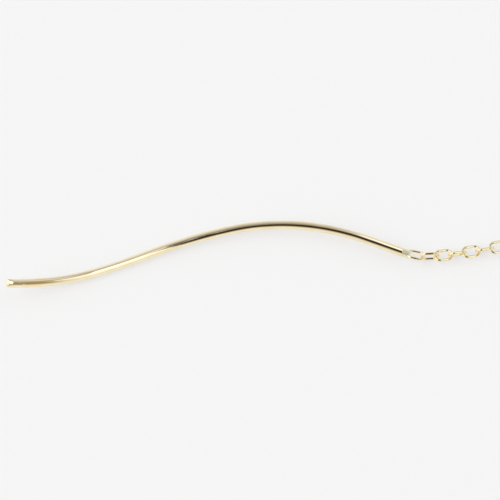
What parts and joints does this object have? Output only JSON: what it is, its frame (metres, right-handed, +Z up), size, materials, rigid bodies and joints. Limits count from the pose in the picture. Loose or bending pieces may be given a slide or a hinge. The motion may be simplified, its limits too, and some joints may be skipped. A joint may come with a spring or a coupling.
{
  "type": "threader earring",
  "caption": "Threader earring lying flat: a long round gold wire bent into a wave, a fine cable chain soldered to its end, and a straight threading post.",
  "frame": {"origin": "on the table, under the middle of the whole earring's box", "axes": "+X from the wave's free end towards the chain, +Y away from the viewer, +Z up from the table"},
  "size_m": [0.0721, 0.0442, 0.0023],
  "materials": {
    "bar_gold": "polished gold plate on drawn wire",
    "chain_gold": "polished gold plate on fine links"
  },
  "bodies": {
    "root": {"wave_bar": "bar_gold", "chain_link_01": "chain_gold", "chain_link_02": "chain_gold", "chain_link_03": "chain_gold", "chain_link_04": "chain_gold", "chain_link_05": "chain_gold", "chain_link_06": "chain_gold", "chain_link_07": "chain_gold", "chain_link_08": "chain_gold", "chain_link_09": "chain_gold", "chain_link_10": "chain_gold", "chain_link_11": "chain_gold", "chain_link_12": "chain_gold", "chain_link_13": "chain_gold", "chain_link_14": "chain_gold", "chain_link_15": "chain_gold", "chain_link_16": "chain_gold", "chain_link_17": "chain_gold", "chain_link_18": "chain_gold", "chain_link_19": "chain_gold", "chain_link_20": "chain_gold", "chain_link_21": "chain_gold", "chain_link_22": "chain_gold", "chain_link_23": "chain_gold", "chain_link_24": "chain_gold", "chain_link_25": "chain_gold", "chain_link_26": "chain_gold", "chain_link_27": "chain_gold", "chain_link_28": "chain_gold", "chain_link_29": "chain_gold", "chain_link_30": "chain_gold", "chain_link_31": "chain_gold", "chain_link_32": "chain_gold", "chain_link_33": "chain_gold", "chain_link_34": "chain_gold", "chain_link_35": "chain_gold", "chain_link_36": "chain_gold", "chain_link_37": "chain_gold", "chain_link_38": "chain_gold", "chain_link_39": "chain_gold", "chain_link_40": "chain_gold", "threading_post": "bar_gold"}
  },
  "joints": []
}
